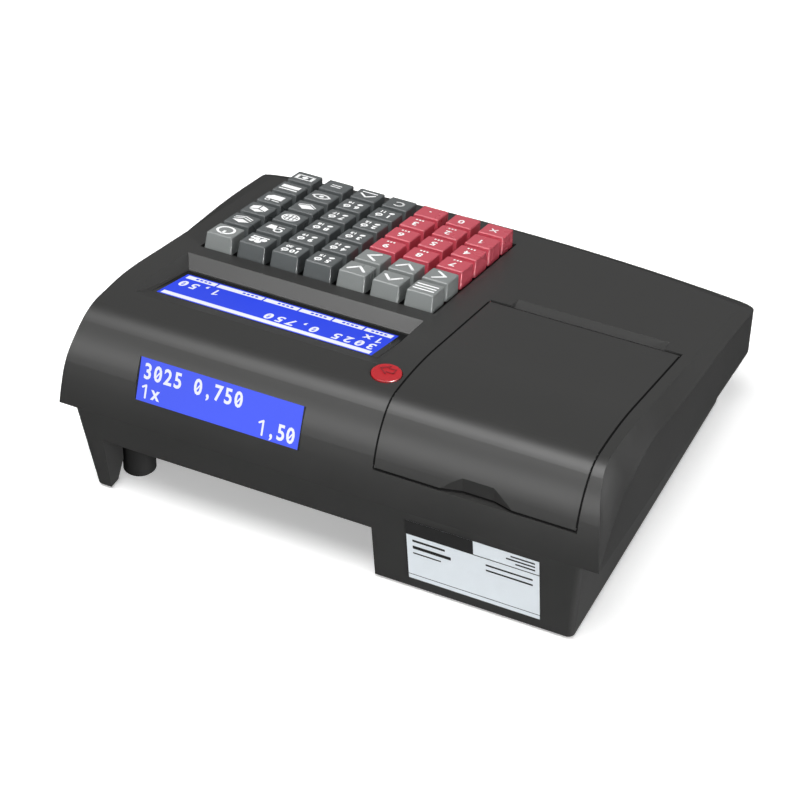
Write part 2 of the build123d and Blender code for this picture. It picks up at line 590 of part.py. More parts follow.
def print_head():
    """Thermal head on its heat sink, leaning on the platen from the operator's side."""
    low, high = FRAME_X
    clear = PLATEN_Y - PLATEN_R - 0.1
    foot = PLATEN_Z - 8.0
    head = span_box((low + 1.5, high - 1.5), (clear - 1.2, clear), (foot + 1, foot + 14))
    sink = span_box((low + 0.4, high - 0.4), (clear - 3.4, clear - 1.2), (foot, foot + 13))
    for n in range(4):
        fin = foot + 1.5 + 3 * n
        sink += span_box((low + 4, high - 4), (clear - 6.2, clear - 3.4), (fin, fin + 1.1))
    return head + sink


def spur_gear(teeth, thickness, bore):
    """Spur gear along Z with straight-sided teeth, cut a little thin so that a pair runs free."""
    pitch_r = GEAR_MODULE * teeth / 2
    root_r, tip_r = pitch_r - 1.2 * GEAR_MODULE, pitch_r + 0.85 * GEAR_MODULE
    half_pitch, half_root, half_tip = 0.62, 0.95, 0.32
    blank = Circle(root_r)
    points = ((-half_root, root_r - 0.4), (-half_root, root_r), (-half_pitch, pitch_r), (-half_tip, tip_r),
              (half_tip, tip_r), (half_pitch, pitch_r), (half_root, root_r), (half_root, root_r - 0.4))
    tooth = make_face(Polyline(*points, close=True))
    for n in range(teeth):
        blank += Rot(0, 0, 360.0 * n / teeth) * tooth
    if bore:
        blank -= Circle(bore)
    return extrude(blank, amount=thickness)


def platen_roller():
    low, high = FRAME_X
    roller = x_rod(PLATEN_Y, PLATEN_Z, low + 1.2, high - 1.2, PLATEN_R)
    roller += x_rod(PLATEN_Y, PLATEN_Z, GEAR_X, high + FRAME_T + 1.5, PLATEN_SHAFT_R)
    gear = spur_gear(PLATEN_TEETH, GEAR_T, 0)
    return roller + Pos(GEAR_X, PLATEN_Y, PLATEN_Z) * X_AXIS * gear


def motor_gear():
    """Pinion on the motor's shaft, a tooth of it in the space over it in the platen's gear."""
    gear = spur_gear(MOTOR_TEETH, GEAR_T, 1.0 + SHAFT_FIT)
    return Pos(GEAR_X, MOTOR_Y, MOTOR_Z) * X_AXIS * gear


def stepper_motor():
    low = FRAME_X[0]
    can = x_rod(MOTOR_Y, MOTOR_Z, low + 0.4, low + 18, 8.0) & span_box((-130, 0), (-60, 40), (0, PLATEN_Z - 9.0))
    shaft = x_rod(MOTOR_Y, MOTOR_Z, GEAR_X - 0.6, low + 2, 1.0)
    boss = x_rod(MOTOR_Y, MOTOR_Z, low - 1.6, low + 1, 3.4)
    return can + shaft + boss


# ---------------------------------------------------------------- boards, feet and screws
MAIN_BOARD_X = (-13.0, 92.0)
MAIN_BOARD_Y = (-40.0, 54.0)
MAIN_BOARD_Z = (10.0, 11.6)
BOARD_POSTS = ((-8.0, -34.0), (86.0, -34.0), (-8.0, 30.0), (86.0, 30.0))
SOCKETS = ((74.0, 10.0, 11.0), (52.0, 15.4, 13.0), (32.0, 15.4, 13.0), (12.0, 15.4, 13.0))


def main_board():
    """Board on four posts, with a barrel inlet and three modular sockets in the wall of the cable recess."""
    board = span_box(MAIN_BOARD_X, MAIN_BOARD_Y, MAIN_BOARD_Z)
    base = MAIN_BOARD_Z[1]
    board += span_box((-4, 66), (-24, 6), (base, base + 2.2))
    mouth = BAY_DEPTH_Y - 0.4
    for x, width, height in SOCKETS:
        board += span_box((x - width / 2, x + width / 2), (mouth - 16, mouth), (base, base + height))
    for x, width, height in SOCKETS[1:]:
        board -= span_box((x - 5.8, x + 5.8), (mouth - 12, mouth + 1), (base + 2.6, base + 9.8))
        board -= span_box((x - 3.0, x + 3.0), (mouth - 12, mouth + 1), (base + 9.8, base + 11.6))
    x, _, height = SOCKETS[0]
    barrel_z = base + height / 2
    across = Rotation(90, 0, 0)
    board -= Pos(x, mouth - 4.5, barrel_z) * across * Cylinder(3.1, 9.1)
    board += Pos(x, mouth - 5.2, barrel_z) * across * Cylinder(1.0, 8.4)
    return board


def rubber_feet():
    feet = []
    for x, y in FEET:
        foot = Pos(x, y, FOOT_PROUD / 2) * Cylinder(FOOT_R, FOOT_PROUD)
        feet.append(chamfer(foot.edges().sort_by(Axis.Z)[0], 0.5))
    x, y, radius = CORNER_FOOT
    tall = Pos(x, y, 7.9) * Cylinder(radius, 15.8)
    feet.append(chamfer(tall.edges().sort_by(Axis.Z)[0], 0.8))
    return Compound(children=feet)


def case_screws():
    screws = []
    for x, y in SCREWS:
        seat = PART_FRONT_Z + PART_RISE * (y - FRONT_Y) - SCREW_DEPTH
        screw = Pos(x, y, seat - 1.2) * Cylinder(2.9, 2.4) + Pos(x, y, seat + 11.5) * Cylinder(1.45, 23)
        screw -= Pos(x, y, seat - 2.2) * Box(0.8, 3.6, 1.0)
        screw -= Pos(x, y, seat - 2.2) * Box(3.6, 0.8, 1.0)
        screws.append(screw)
    return Compound(children=screws)


# ---------------------------------------------------------------- write the nodes
KEY_NAMES = (
    ("key_power", "key_stock", "key_box", "key_discount", "key_card", "key_cash"),
    ("key_goods", "key_link", "key_globe", "key_receipt", "key_coin", "key_total"),
    ("key_dept_10", "key_dept_9", "key_dept_8", "key_dept_7", "key_dept_6", "key_list"),
    ("key_dept_5", "key_dept_4", "key_dept_3", "key_dept_2", "key_dept_1", "key_clear"),
    ("key_page", "key_right", "key_9", "key_6", "key_3", "key_point"),
    ("key_up", "key_down", "key_8", "key_5", "key_2", "key_0"),
    ("key_menu", "key_left", "key_7", "key_4", "key_1", "key_times"),
)


def write(name, shape):
    export_step(shape, f"parts/{name}.step")


for builder in (upper_case, lower_case, printer_cover, release_button, operator_lens, operator_display,
                customer_lens, customer_display, keyboard_plate, keyboard_board, main_board, printer_frame,
                print_head, platen_roller, motor_gear, stepper_motor, rubber_feet, case_screws):
    write(builder.__name__, builder())

cap = keycap()
for key_x, names in zip(KEY_XS, KEY_NAMES):
    for key_s, name in zip(KEY_SS, names):
        write(name, incline(key_s, 0.0, key_x) * cap)
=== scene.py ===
# %% [markdown]
# # A ticket register, dressed for its picture
#
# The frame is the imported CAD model. Its meshes stay exactly where they are, because the
# joints turn and press them. Everything made here either gives a CAD node a better surface
# or adds a thin detail, such as a printed legend, that rides on the body it belongs to.

# %% Load the frame
import json
import math

import bpy
from mathutils import Matrix, Vector


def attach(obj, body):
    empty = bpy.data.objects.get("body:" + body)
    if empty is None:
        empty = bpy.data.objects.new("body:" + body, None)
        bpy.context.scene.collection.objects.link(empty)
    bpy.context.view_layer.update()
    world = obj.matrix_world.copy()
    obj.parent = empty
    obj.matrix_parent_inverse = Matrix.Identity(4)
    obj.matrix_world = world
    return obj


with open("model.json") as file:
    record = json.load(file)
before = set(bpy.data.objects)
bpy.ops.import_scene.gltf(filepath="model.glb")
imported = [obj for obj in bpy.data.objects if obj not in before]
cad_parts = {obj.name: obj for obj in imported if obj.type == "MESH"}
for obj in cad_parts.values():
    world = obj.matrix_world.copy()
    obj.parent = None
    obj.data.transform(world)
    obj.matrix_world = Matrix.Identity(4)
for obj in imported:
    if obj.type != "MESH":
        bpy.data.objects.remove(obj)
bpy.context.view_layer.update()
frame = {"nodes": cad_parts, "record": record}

# %% [markdown]
# ## Faces to draw on
#
# A register has few upright faces: the keys stand on a slope, one display lies in a sloping
# recess and the other stands in the rounded rear. Writing could be modelled in its place,
# but it is much easier to draw it flat. So each face gets a matrix whose X runs to the
# reader's right, Y to the top of the writing and Z out of the face, in millimetres. A
# legend is drawn around the origin and then laid onto the part with that matrix. How high
# the face stands is measured on the CAD node, so that nothing sinks in or floats.

# %% Face matrices
MM = 0.001
LAYER = 0.03  # mm, the thickness of one layer of ink or film
KEY_SLOPE = math.radians(12.45)


def face(origin, right, up):
    """A matrix from drawing millimetres on a face to metres in the part."""
    x = Vector(right).normalized()
    y = Vector(up).normalized()
    z = x.cross(y)
    turn = Matrix((x, y, z)).transposed().to_4x4()
    return Matrix.Translation(Vector(origin) * MM) @ turn @ Matrix.Scale(MM, 4)


def raised(matrix, height):
    return matrix @ Matrix.Translation((0.0, 0.0, height))


def layer(matrix, count):
    """The same face, raised by a number of thin layers."""
    return raised(matrix, count * LAYER)


def points_on(matrix, name):
    """The vertices of a CAD node, in the millimetres of a face."""
    back = matrix.inverted()
    return [back @ vertex.co for vertex in frame["nodes"][name].data.vertices]


def on_top(matrix, name):
    """The same face, raised to the highest vertex of a CAD node."""
    height = max(point.z for point in points_on(matrix, name))
    print(name, "rises", round(height, 3), "mm above its plane")
    return raised(matrix, height)


KEY_PLANE = face((0.0, -96.3, 52.7), (1, 0, 0), (0.0, math.cos(KEY_SLOPE), math.sin(KEY_SLOPE)))
RECESS_PLANE = face((0.0, 24.8, 73.8), (1, 0, 0), (0.0, 0.9602, 0.2793))
WINDOW_PLANE = face((47.8, 96.17, 68.55), (-1, 0, 0), (0.0, -0.3403, 0.9403))
BUTTON_PLANE = face((-14.9, 69.4, 86.85), (1, 0, 0), (0.0, 0.9986, 0.0522))

OPERATOR_FACE = on_top(RECESS_PLANE, "operator_lens")
CUSTOMER_FACE = on_top(WINDOW_PLANE, "customer_lens")
BUTTON_FACE = on_top(BUTTON_PLANE, "release_button")
LABEL_FACE = face((-68.0, 97.915, 24.75), (-1, 0, 0), (0.0, 0.1526, 0.9883))

# %% [markdown]
# ## Shared surface effects
#
# Moulded plastic is never one flat colour. The mould is spark eroded, which leaves a fine
# grain, the resin flows into slightly different tints, and hands polish some places. Each
# material could hold its own copy of these nodes, but with a node group one change reaches
# every plastic. A group puts out only a shade, a value or a height, and the shader stays in
# each material. The first cell holds short helpers that save writing each node out.

# %% Node helpers


def new_group(name, inputs, outputs):
    group = bpy.data.node_groups.new(name, "ShaderNodeTree")
    for label, value in inputs.items():
        socket = group.interface.new_socket(label, in_out="INPUT", socket_type="NodeSocketFloat")
        socket.default_value = value
    for label in outputs:
        group.interface.new_socket(label, in_out="OUTPUT", socket_type="NodeSocketFloat")
    entry = group.nodes.new("NodeGroupInput")
    leave = group.nodes.new("NodeGroupOutput")
    return group, entry.outputs, leave.inputs


def node(tree, kind, **values):
    made = tree.nodes.new(kind)
    for label, value in values.items():
        setattr(made, label, value)
    return made


def feed(tree, socket, value):
    """Give a socket a plain number or the output of another node."""
    if isinstance(value, (int, float)):
        socket.default_value = value
    else:
        tree.links.new(value, socket)


def math_node(tree, operation, first, second):
    made = node(tree, "ShaderNodeMath", operation=operation)
    feed(tree, made.inputs[0], first)
    feed(tree, made.inputs[1], second)
    return made.outputs[0]


def noise(tree, scale, detail, roughness=0.5):
    """A noise on Object coordinates, which stays put on a piece that moves."""
    made = node(tree, "ShaderNodeTexNoise")
    tree.links.new(node(tree, "ShaderNodeTexCoord").outputs["Object"], made.inputs["Vector"])
    feed(tree, made.inputs["Scale"], scale)
    feed(tree, made.inputs["Detail"], detail)
    feed(tree, made.inputs["Roughness"], roughness)
    return made.outputs["Fac"]


print("node helpers: new_group, node, feed, math_node, noise")

# %% Grain and handling
NOISE_MEAN = 0.5
FLOW_SCALE = 35.0  # slow change of tint where the resin flowed
SMEAR_SCALE = 22.0  # places that hands have polished


def make_grain():
    """Spark-eroded grain: a height for the bump and a small change of tint."""
    group, entry, leave = new_group("moulded_grain", {"Scale": 2200.0, "Tint": 0.1}, ("Height", "Shade"))
    fine = noise(group, entry["Scale"], 3.0)
    slow = noise(group, FLOW_SCALE, 2.0)
    both = math_node(group, "ADD", fine, slow)
    spread = math_node(group, "SUBTRACT", both, 2 * NOISE_MEAN)
    shade = math_node(group, "MULTIPLY", spread, entry["Tint"])
    group.links.new(fine, leave["Height"])
    group.links.new(math_node(group, "ADD", shade, 1.0), leave["Shade"])
    return group


def make_handling():
    """Where hands have polished the plastic: a slow pattern for the roughness."""
    group, entry, leave = new_group("handling", {"Roughness": 0.4, "Amount": 0.1}, ("Roughness",))
    smears = noise(group, SMEAR_SCALE, 4.0, 0.6)
    spread = math_node(group, "SUBTRACT", smears, NOISE_MEAN)
    swing = math_node(group, "MULTIPLY", spread, entry["Amount"])
    group.links.new(math_node(group, "ADD", entry["Roughness"], swing), leave["Roughness"])
    return group


GRAIN = make_grain()
HANDLING = make_handling()
print("node groups:", [group.name for group in bpy.data.node_groups])

# %% [markdown]
# ## Materials
#
# Nearly every visible piece is moulded plastic, in charcoal, greys and reds. Each colour
# could have its own set of nodes, but they differ in a few numbers only, so one recipe
# makes them all: a base colour multiplied by the grain's shade, a roughness that handling
# changes a little, and the grain's height as a very shallow bump. Its depth is about a
# hundredth of a millimetre, as on a real moulding. A deeper one would look like leather.

# %% Material recipes


def linear(code):
    """Linear colour of an sRGB hex code, as the shader's sockets want it."""
    parts = [int(code[i : i + 2], 16) / 255 for i in (0, 2, 4)]
    flat = [c / 12.92 if c <= 0.04045 else ((c + 0.055) / 1.055) ** 2.4 for c in parts]
    return (*flat, 1.0)


def blank_material(name):
    material = bpy.data.materials.new(name)
    material.use_nodes = True
    return material, material.node_tree, material.node_tree.nodes["Principled BSDF"].inputs


def shaded(tree, code, shade):
    """A colour multiplied by a shade that changes over the surface."""
    mix = node(tree, "ShaderNodeMix", data_type="RGBA", blend_type="MULTIPLY")
    mix.inputs["Factor"].default_value = 1.0
    mix.inputs["A"].default_value = linear(code)
    tree.links.new(shade, mix.inputs["B"])
    return mix.outputs["Result"]


def plastic(name, code, roughness, grain=2200.0, depth=0.00001, tint=0.1, swing=0.08, specular=0.5):
    material, tree, shader = blank_material(name)
    grained = node(tree, "ShaderNodeGroup", node_tree=GRAIN)
    grained.inputs["Scale"].default_value = grain
    grained.inputs["Tint"].default_value = tint
    tree.links.new(shaded(tree, code, grained.outputs["Shade"]), shader["Base Color"])
    handled = node(tree, "ShaderNodeGroup", node_tree=HANDLING)
    handled.inputs["Roughness"].default_value = roughness
    handled.inputs["Amount"].default_value = swing
    tree.links.new(handled.outputs["Roughness"], shader["Roughness"])
    bump = node(tree, "ShaderNodeBump")
    bump.inputs["Distance"].default_value = depth
    tree.links.new(grained.outputs["Height"], bump.inputs["Height"])
    tree.links.new(bump.outputs["Normal"], shader["Normal"])
    shader["Specular IOR Level"].default_value = specular
    return material


def metal(name, code, roughness):
    material = plastic(name, code, roughness, grain=900.0, depth=0.000004)
    material.node_tree.nodes["Principled BSDF"].inputs["Metallic"].default_value = 1.0
    return material


print("charcoal as linear light:", [round(c, 4) for c in linear("262625")])

# %% Materials of the CAD nodes
MATERIALS = {
    "case_top": plastic("case_top", "262625", 0.42),
    "case_base": plastic("case_base", "292928", 0.46),
    "key_dark": plastic("key_dark", "565a5b", 0.27, tint=0.12),
    "key_light": plastic("key_light", "848887", 0.27),
    "key_red": plastic("key_red", "c54b5a", 0.27),
    "button_red": plastic("button_red", "b01822", 0.35),
    "screen_operator": plastic("screen_operator", "0c0d0e", 0.12, depth=0.0, swing=0.03),
    "screen_customer": plastic("screen_customer", "14141a", 0.18, depth=0.0, swing=0.03),
    "well_dark": plastic("well_dark", "1d1e1d", 0.5),
    "module": plastic("module", "1a1b1d", 0.4),
    "board_green": plastic("board_green", "1d5a36", 0.35, grain=700.0),
    "mechanism_black": plastic("mechanism_black", "18191a", 0.5),
    "heat_sink": metal("heat_sink", "a9adb0", 0.35),
    "steel": metal("steel", "b9bcbf", 0.28),
    "gear_white": plastic("gear_white", "d9d8d0", 0.4),
    "rubber": plastic("rubber", "1b1b1b", 0.75, grain=1200.0, depth=0.00002, specular=0.1),
}
print("materials:", list(MATERIALS))

# %% [markdown]
# ## Dress the CAD nodes
#
# Each node of the record names the material slot it is finished with, so the slots decide
# which recipe goes on which node. A real moulded edge is never sharp, and the narrow face
# at the edge is what catches a thin line of light. The CAD could round every edge, at the
# price of many small faces. A bevel modifier takes a few tenths of a millimetre off the
# edges of the keys, the lid and the upper housing instead, and leaves their meshes alone.

# %% Materials and rounded edges
KEY_EDGE, HOUSING_EDGE = 0.3, 0.6  # mm
KEY_EDGE_ANGLE, HOUSING_EDGE_ANGLE = 30.0, 50.0  # degrees, flatter edges stay as they are


def round_edges(name, width, angle):
    bevel = frame["nodes"][name].modifiers.new("round_edges", "BEVEL")
    bevel.width = width * MM
    bevel.segments = 1
    bevel.limit_method = "ANGLE"
    bevel.angle_limit = math.radians(angle)


for part in frame["record"]["subparts"]:
    for slot in frame["nodes"][part["node"]].material_slots:
        slot.material = MATERIALS[part["material_slot"]]

KEY_NODES = [name for name in frame["nodes"] if name.startswith("key_")]
for name in KEY_NODES:
    round_edges(name, KEY_EDGE, KEY_EDGE_ANGLE)
for name in ("printer_cover", "upper_case"):
    round_edges(name, HOUSING_EDGE, HOUSING_EDGE_ANGLE)
print("keys with rounded edges:", len(KEY_NODES))

# %% [markdown]
# ## Drawing tools
#
# The legends are printed on the real keys, a few hundredths of a millimetre thick. They
# could be an image or carved letters, but flat shapes just above the cap stay sharp at any
# size. They are drawn with five strokes: a bar, a disc, a ring, a polygon and plain
# figures. Each stroke is a Blender primitive that is scaled, extruded or has its corners
# moved.

# %% Strokes


def bar(start, end, width):
    """A straight stroke between two points, in drawing millimetres."""
    run = Vector(end) - Vector(start)
    middle = (Vector(start) + Vector(end)) / 2
    bpy.ops.mesh.primitive_plane_add(size=1.0, location=(middle.x, middle.y, 0.0))
    stroke = bpy.context.object
    stroke.scale = (run.length, width, 1.0)
    stroke.rotation_euler.z = math.atan2(run.y, run.x)
    return stroke


def panel(low, high):
    """A filled rectangle between two corners."""
    middle = (low[1] + high[1]) / 2
    return bar((low[0], middle), (high[0], middle), high[1] - low[1])


def disc(x, y, radius, vertices=20):
    bpy.ops.mesh.primitive_circle_add(
        vertices=vertices, radius=radius, fill_type="NGON", location=(x, y, 0.0)
    )
    return bpy.context.object


def ring(x, y, radius, width):
    """A band: a circle whose edge is extruded and drawn in."""
    bpy.ops.mesh.primitive_circle_add(
        vertices=28, radius=radius, fill_type="NOTHING", location=(x, y, 0.0)
    )
    band = bpy.context.object
    bpy.ops.object.mode_set(mode="EDIT")
    bpy.ops.mesh.select_all(action="SELECT")
    bpy.ops.mesh.extrude_edges_move()
    inner = (radius - width) / radius
    bpy.ops.transform.resize(value=(inner, inner, 1.0), center_override=(x, y, 0.0))
    bpy.ops.object.mode_set(mode="OBJECT")
    return band


def polygon(*points):
    """A filled shape: the corners of an n-sided face are moved to their places."""
    shape = disc(0.0, 0.0, 1.0, len(points))
    for vertex, (x, y) in zip(shape.data.vertices, points):
        vertex.co = (x, y, 0.0)
    return shape


def path(points, width):
    """A bent stroke, with a small disc filling each corner."""
    strokes = [bar(start, end, width) for start, end in zip(points, points[1:])]
    return strokes + [disc(x, y, width / 2, 12) for x, y in points]


print("strokes: bar, panel, disc, ring, polygon, path")

# %% [markdown]
# ## Figures, and laying a drawing down
#
# Figures are text, which Blender keeps as curves. The export wants meshes, so each text is
# converted before anything else is done to it. The strokes of a legend could stay separate
# objects, but one printed legend is one layer of ink, so they are joined. The face's matrix
# is then applied to the mesh: a finished object sits at the origin, unturned, as a CAD node
# does, and rides on the body whose joint carries it.

# %% Figures and laying


def figures(words, size, x=0.0, y=0.0, bold=0.0, squeeze=1.0):
    """Plain figures, centred on a point and turned into a mesh."""
    bpy.ops.object.text_add(location=(x, y, 0.0))
    writing = bpy.context.object
    writing.scale.x = squeeze
    writing.data.body = words
    writing.data.offset = bold
    writing.data.size = size
    writing.data.align_x = "CENTER"
    writing.data.align_y = "CENTER"
    writing.data.resolution_u = 3
    bpy.ops.object.convert(target="MESH")
    return bpy.context.object


def one(x, y, height, width):
    """A figure one with its flag, because the plain font draws only a bar."""
    top, foot = y + 0.44 * height, y - 0.44 * height
    flag = (x - 0.25 * height, y + 0.28 * height)
    return path([flag, (x, top), (x, foot)], width)


def lay(strokes, name, matrix, material, body):
    """Join strokes, lay them on a face and let them ride on a body."""
    bpy.ops.object.select_all(action="DESELECT")
    for stroke in strokes:
        stroke.select_set(True)
    piece = strokes[0]
    bpy.context.view_layer.objects.active = piece
    if len(strokes) > 1:
        bpy.ops.object.join()
    bpy.ops.object.transform_apply(location=True, rotation=True, scale=True)
    piece.matrix_world = matrix
    bpy.ops.object.transform_apply(location=True, rotation=True, scale=True)
    piece.name = name
    piece.data.materials.clear()
    piece.data.materials.append(material)
    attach(piece, body)
    return piece


print("laying tools: figures, one, lay")

# %% [markdown]
# ## Key legends
#
# The operator stands at the low edge, so the legends read from there and look upside down
# from the customer's side. The red block is the number pad of an ordinary till, the dark
# columns are departments, and the rest carry plain pictograms: layers, a box, a note.
# Finer signs could be drawn with many strokes, but on a key twelve millimetres wide they
# would print as blots, so each one has a few bold ones. Its place is measured on the cap.

# %% The first column of legends
INK = plastic("ink_white", "fbfcfc", 0.5, grain=3000.0, depth=0.000004, tint=0.05)


def legend(key, strokes):
    """Lay a drawing on the middle of a keycap's top."""
    points = points_on(KEY_PLANE, "key_" + key)
    middle = [(min(p[axis] for p in points) + max(p[axis] for p in points)) / 2 for axis in (0, 1)]
    top = max(p.z for p in points)
    cap = KEY_PLANE @ Matrix.Translation((*middle, top))
    lay(strokes, "legend_" + key, layer(cap, 1), INK, "key_" + key)


def power_sign():
    return [ring(0.0, -0.3, 4.4, 1.2), bar((0.0, 0.2), (0.0, 4.4), 1.2)]


def layers():
    strokes = [polygon((-4.2, 1.7), (0.0, -0.4), (4.2, 1.7), (0.0, 3.9))]
    for rise in (-0.2, -2.0):
        strokes += path([(-4.0, rise), (0.0, rise - 2.0), (4.0, rise)], 0.8)
    return strokes


def carton():
    lid = polygon((-3.6, 2.2), (0.0, 0.5), (3.6, 2.2), (0.0, 4.0))
    left = polygon((-3.9, 1.6), (-3.9, -2.2), (-0.3, -4.1), (-0.3, -0.1))
    right = polygon((3.9, 1.6), (0.3, -0.1), (0.3, -4.1), (3.9, -2.2))
    return [lid, left, right]


def discount():
    note = polygon((-4.0, -3.4), (1.8, -3.4), (4.0, -1.2), (4.0, 1.6), (-4.0, 1.6))
    return [note, ring(2.2, 3.0, 1.3, 0.55), bar((-3.6, 3.2), (0.0, 3.2), 0.8)]


def card():
    return [panel((-4.5, -2.9), (4.5, 0.5)), panel((-4.5, 1.7), (4.5, 2.9))]


def banknote():
    strokes = [panel((-4.5, y), (4.5, y + 0.9)) for y in (-2.8, 1.9)]
    strokes += [panel((x, -2.8), (x + 1.5, 2.8)) for x in (-4.5, 3.0)]
    return strokes + [disc(0.0, 0.0, 1.45)]


legend("power", power_sign())
legend("stock", layers())
legend("box", carton())
legend("discount", discount())
legend("card", card())
legend("cash", banknote())

# %% [markdown]
# ## The second column
#
# The globe on the real key is a ball whose lines stay dark. White lines could be cut out of
# a disc with booleans, but it is simpler to fill the fields between them. The eight fields
# are one shape mirrored four ways, in two sizes.

# %% The second column of legends


def goods():
    strokes = [panel((-3.9, -3.6), (3.9, -2.6)), disc(-2.3, -0.6, 1.6), disc(1.0, -0.7, 1.5)]
    return strokes + [disc(3.2, -1.0, 1.0), disc(-0.6, 2.0, 1.6), disc(2.3, 1.9, 1.3)]


def link():
    cup = polygon((0.2, -3.4), (3.4, -3.4), (4.2, 0.8), (-0.6, 0.8))
    return [ring(-2.1, 1.2, 2.2, 0.9), cup, bar((-3.8, -2.4), (-0.8, -2.4), 0.9)]


def globe():
    """A ball with the lines left open: eight filled fields inside a ring."""
    strokes = [ring(0.0, 0.0, 4.2, 0.75)]
    foot = 0.3
    for near, far, near_top, far_top in ((0.3, 1.6, 3.1, 2.635), (2.0, 3.1, 2.0, 1.7)):
        for side, half in ((1, 1), (1, -1), (-1, 1), (-1, -1)):
            field = [(near, foot), (far, foot), (far, far_top), (near, near_top)]
            corners = [(side * x, half * y) for x, y in field]
            # A mirrored face would look down, so its corners are taken in the other order.
            strokes.append(polygon(*corners[:: side * half]))
    return strokes


def receipt():
    sheet = polygon((-4.4, 0.4), (-0.6, -2.6), (4.4, -0.4), (0.8, 3.0))
    return [sheet] + path([(-4.2, -0.9), (-0.6, -3.8), (4.2, -1.7)], 0.6)


def coin():
    """A lens-shaped outline around a disc."""
    upper = [(-4.2, 0.0), (-2.2, 1.9), (0.0, 2.5), (2.2, 1.9)]
    lower = [(-x, -y) for x, y in upper]
    return path(upper + lower + upper[:1], 1.0) + [disc(0.0, 0.0, 1.2)]


def equals():
    return [bar((-2.5, y), (2.5, y), 0.8) for y in (1.0, -1.0)]


legend("goods", goods())
legend("link", link())
legend("globe", globe())
legend("receipt", receipt())
legend("coin", coin())
legend("total", equals())

# %% [markdown]
# ## The department keys
#
# Each department key shows its own number, a fruit and a leaf, and in the corner the number
# of a second department. The ten drawings differ only in their numbers, so one function
# draws them all. The last key of each column has a sign of its own.

# %% The third and fourth column of legends


def department(key_number):
    """The key's number, a fruit, a leaf and, smaller, the number of a second department."""
    strokes = [
        figures(str(key_number), 4.5, -2.4, 1.5, bold=0.2),
        figures(str(key_number + 10), 3.1, 1.9, -2.5, bold=0.14),
        ring(2.2, 1.8, 1.75, 0.95),
        disc(2.2, 1.8, 0.42, 12),
        bar((2.2, 3.3), (2.9, 4.3), 0.5),
    ]
    leaf = disc(-2.5, -2.3, 1.35)
    leaf.scale.y = 0.72
    leaf.rotation_euler.z = math.radians(30)
    return strokes + [leaf]


def listing():
    return [bar((-3.8, -3.0), (3.8, -3.0), 1.0)] + path([(-3.4, -0.6), (0.0, 2.8), (3.4, -0.6)], 1.1)


def clear():
    """An open ring: a short run of strokes around most of a circle."""
    turns = [math.radians(angle) for angle in range(50, 311, 26)]
    return path([(2.3 * math.cos(turn), 2.3 * math.sin(turn) + 0.6) for turn in turns], 0.95)


for key_number in (10, 9, 8, 7, 6):
    legend(f"dept_{key_number}", department(key_number))
legend("list", listing())
for key_number in (5, 4, 3, 2, 1):
    legend(f"dept_{key_number}", department(key_number))
legend("clear", clear())

# %% [markdown]
# ## Arrows, menu and number pad
#
# The five arrows are one chevron at different angles. The real number keys also have
# letters, as a telephone's do. Letters could be set as tiny text, but three short strokes
# look the same from any sensible distance and need far fewer faces.

# %% The last three columns of legends


def chevron(angle):
    """An arrow head that points up, turned anticlockwise by some degrees."""
    turn = Matrix.Rotation(math.radians(angle), 2)
    corners = [turn @ Vector(corner) for corner in ((-3.8, -2.2), (0.0, 2.4), (3.8, -2.2))]
    return path(corners, 1.35)


def menu():
    return [bar((-5.0, y), (5.0, y), 1.1) for y in (2.6, 0.0, -2.6)]


def point_sign():
    return [disc(0.6, -0.6, 0.55)]


def times_sign():
    return [bar((-1.0, -0.8), (2.2, 2.4), 0.7), bar((-1.0, 2.4), (2.2, -0.8), 0.7)]


def number(digit):
    """A figure, above three short strokes in place of the key's letters."""
    if digit == 1:
        return one(0.7, 0.8, 4.2, 0.75)
    strokes = [figures(str(digit), 5.8, 0.6, 0.8, bold=0.15)]
    if digit > 1:
        strokes += [bar((x, -4.0), (x + 0.9, -4.0), 1.1) for x in (-1.6, -0.1, 1.4)]
    return strokes


legend("page", chevron(180))
legend("right", chevron(270))
for digit in (9, 6, 3):
    legend(str(digit), number(digit))
legend("point", point_sign())
legend("up", chevron(0))
legend("down", chevron(180))
for digit in (8, 5, 2, 0):
    legend(str(digit), number(digit))
legend("menu", menu())
legend("left", chevron(90))
for digit in (7, 4, 1):
    legend(str(digit), number(digit))
legend("times", times_sign())

# %% [markdown]
# ## Displays
#
# Both displays are blue liquid crystal modules with a white backlight behind the figures.
# One glowing picture behind glass would do, but flat pieces need no image and stay sharp.
# The lit area lies just above its clear sheet, and the figures lie above that. Every figure
# has the same width, and a zero has a slash, as such modules draw it. The lit areas don't
# shine on their surroundings, because the real backlight is too weak for a bright room.

# %% Display tools
PATCHINESS = 0.25  # how far the backlight changes over the screen


def glowing(name, code, strength):
    """A lit display under a clear sheet: it shines by itself and still reflects."""
    material, tree, shader = blank_material(name)
    patches = math_node(tree, "MULTIPLY", noise(tree, 18.0, 1.0), PATCHINESS)
    level = math_node(tree, "ADD", patches, 1.0 - PATCHINESS * NOISE_MEAN)
    tree.links.new(shaded(tree, code, level), shader["Emission Color"])
    shader["Emission Strength"].default_value = strength
    shader["Base Color"].default_value = (0.01, 0.01, 0.02, 1.0)
    shader["Roughness"].default_value = 0.35
    shader["Specular IOR Level"].default_value = 0.15
    return material


def lit_area(name, low, high, matrix, material):
    piece = lay([panel(low, high)], name, layer(matrix, 1), material, "case")
    piece.visible_diffuse = False
    piece.visible_glossy = False


def reading(words, height, first, pitch, y):
    """Figures of one width each, with a slash through every zero."""
    strokes = []
    for i, letter in enumerate(words):
        x = first + pitch * i
        if letter == "1":
            strokes += one(x + 0.2, y, height, 0.85)
        elif letter != " ":
            strokes.append(figures(letter, height * 1.37, x, y, bold=0.24, squeeze=0.8))
        if letter == "0":
            strokes.append(bar((x - 0.8, y - 1.3), (x + 0.8, y + 1.3), 0.6))
    return strokes


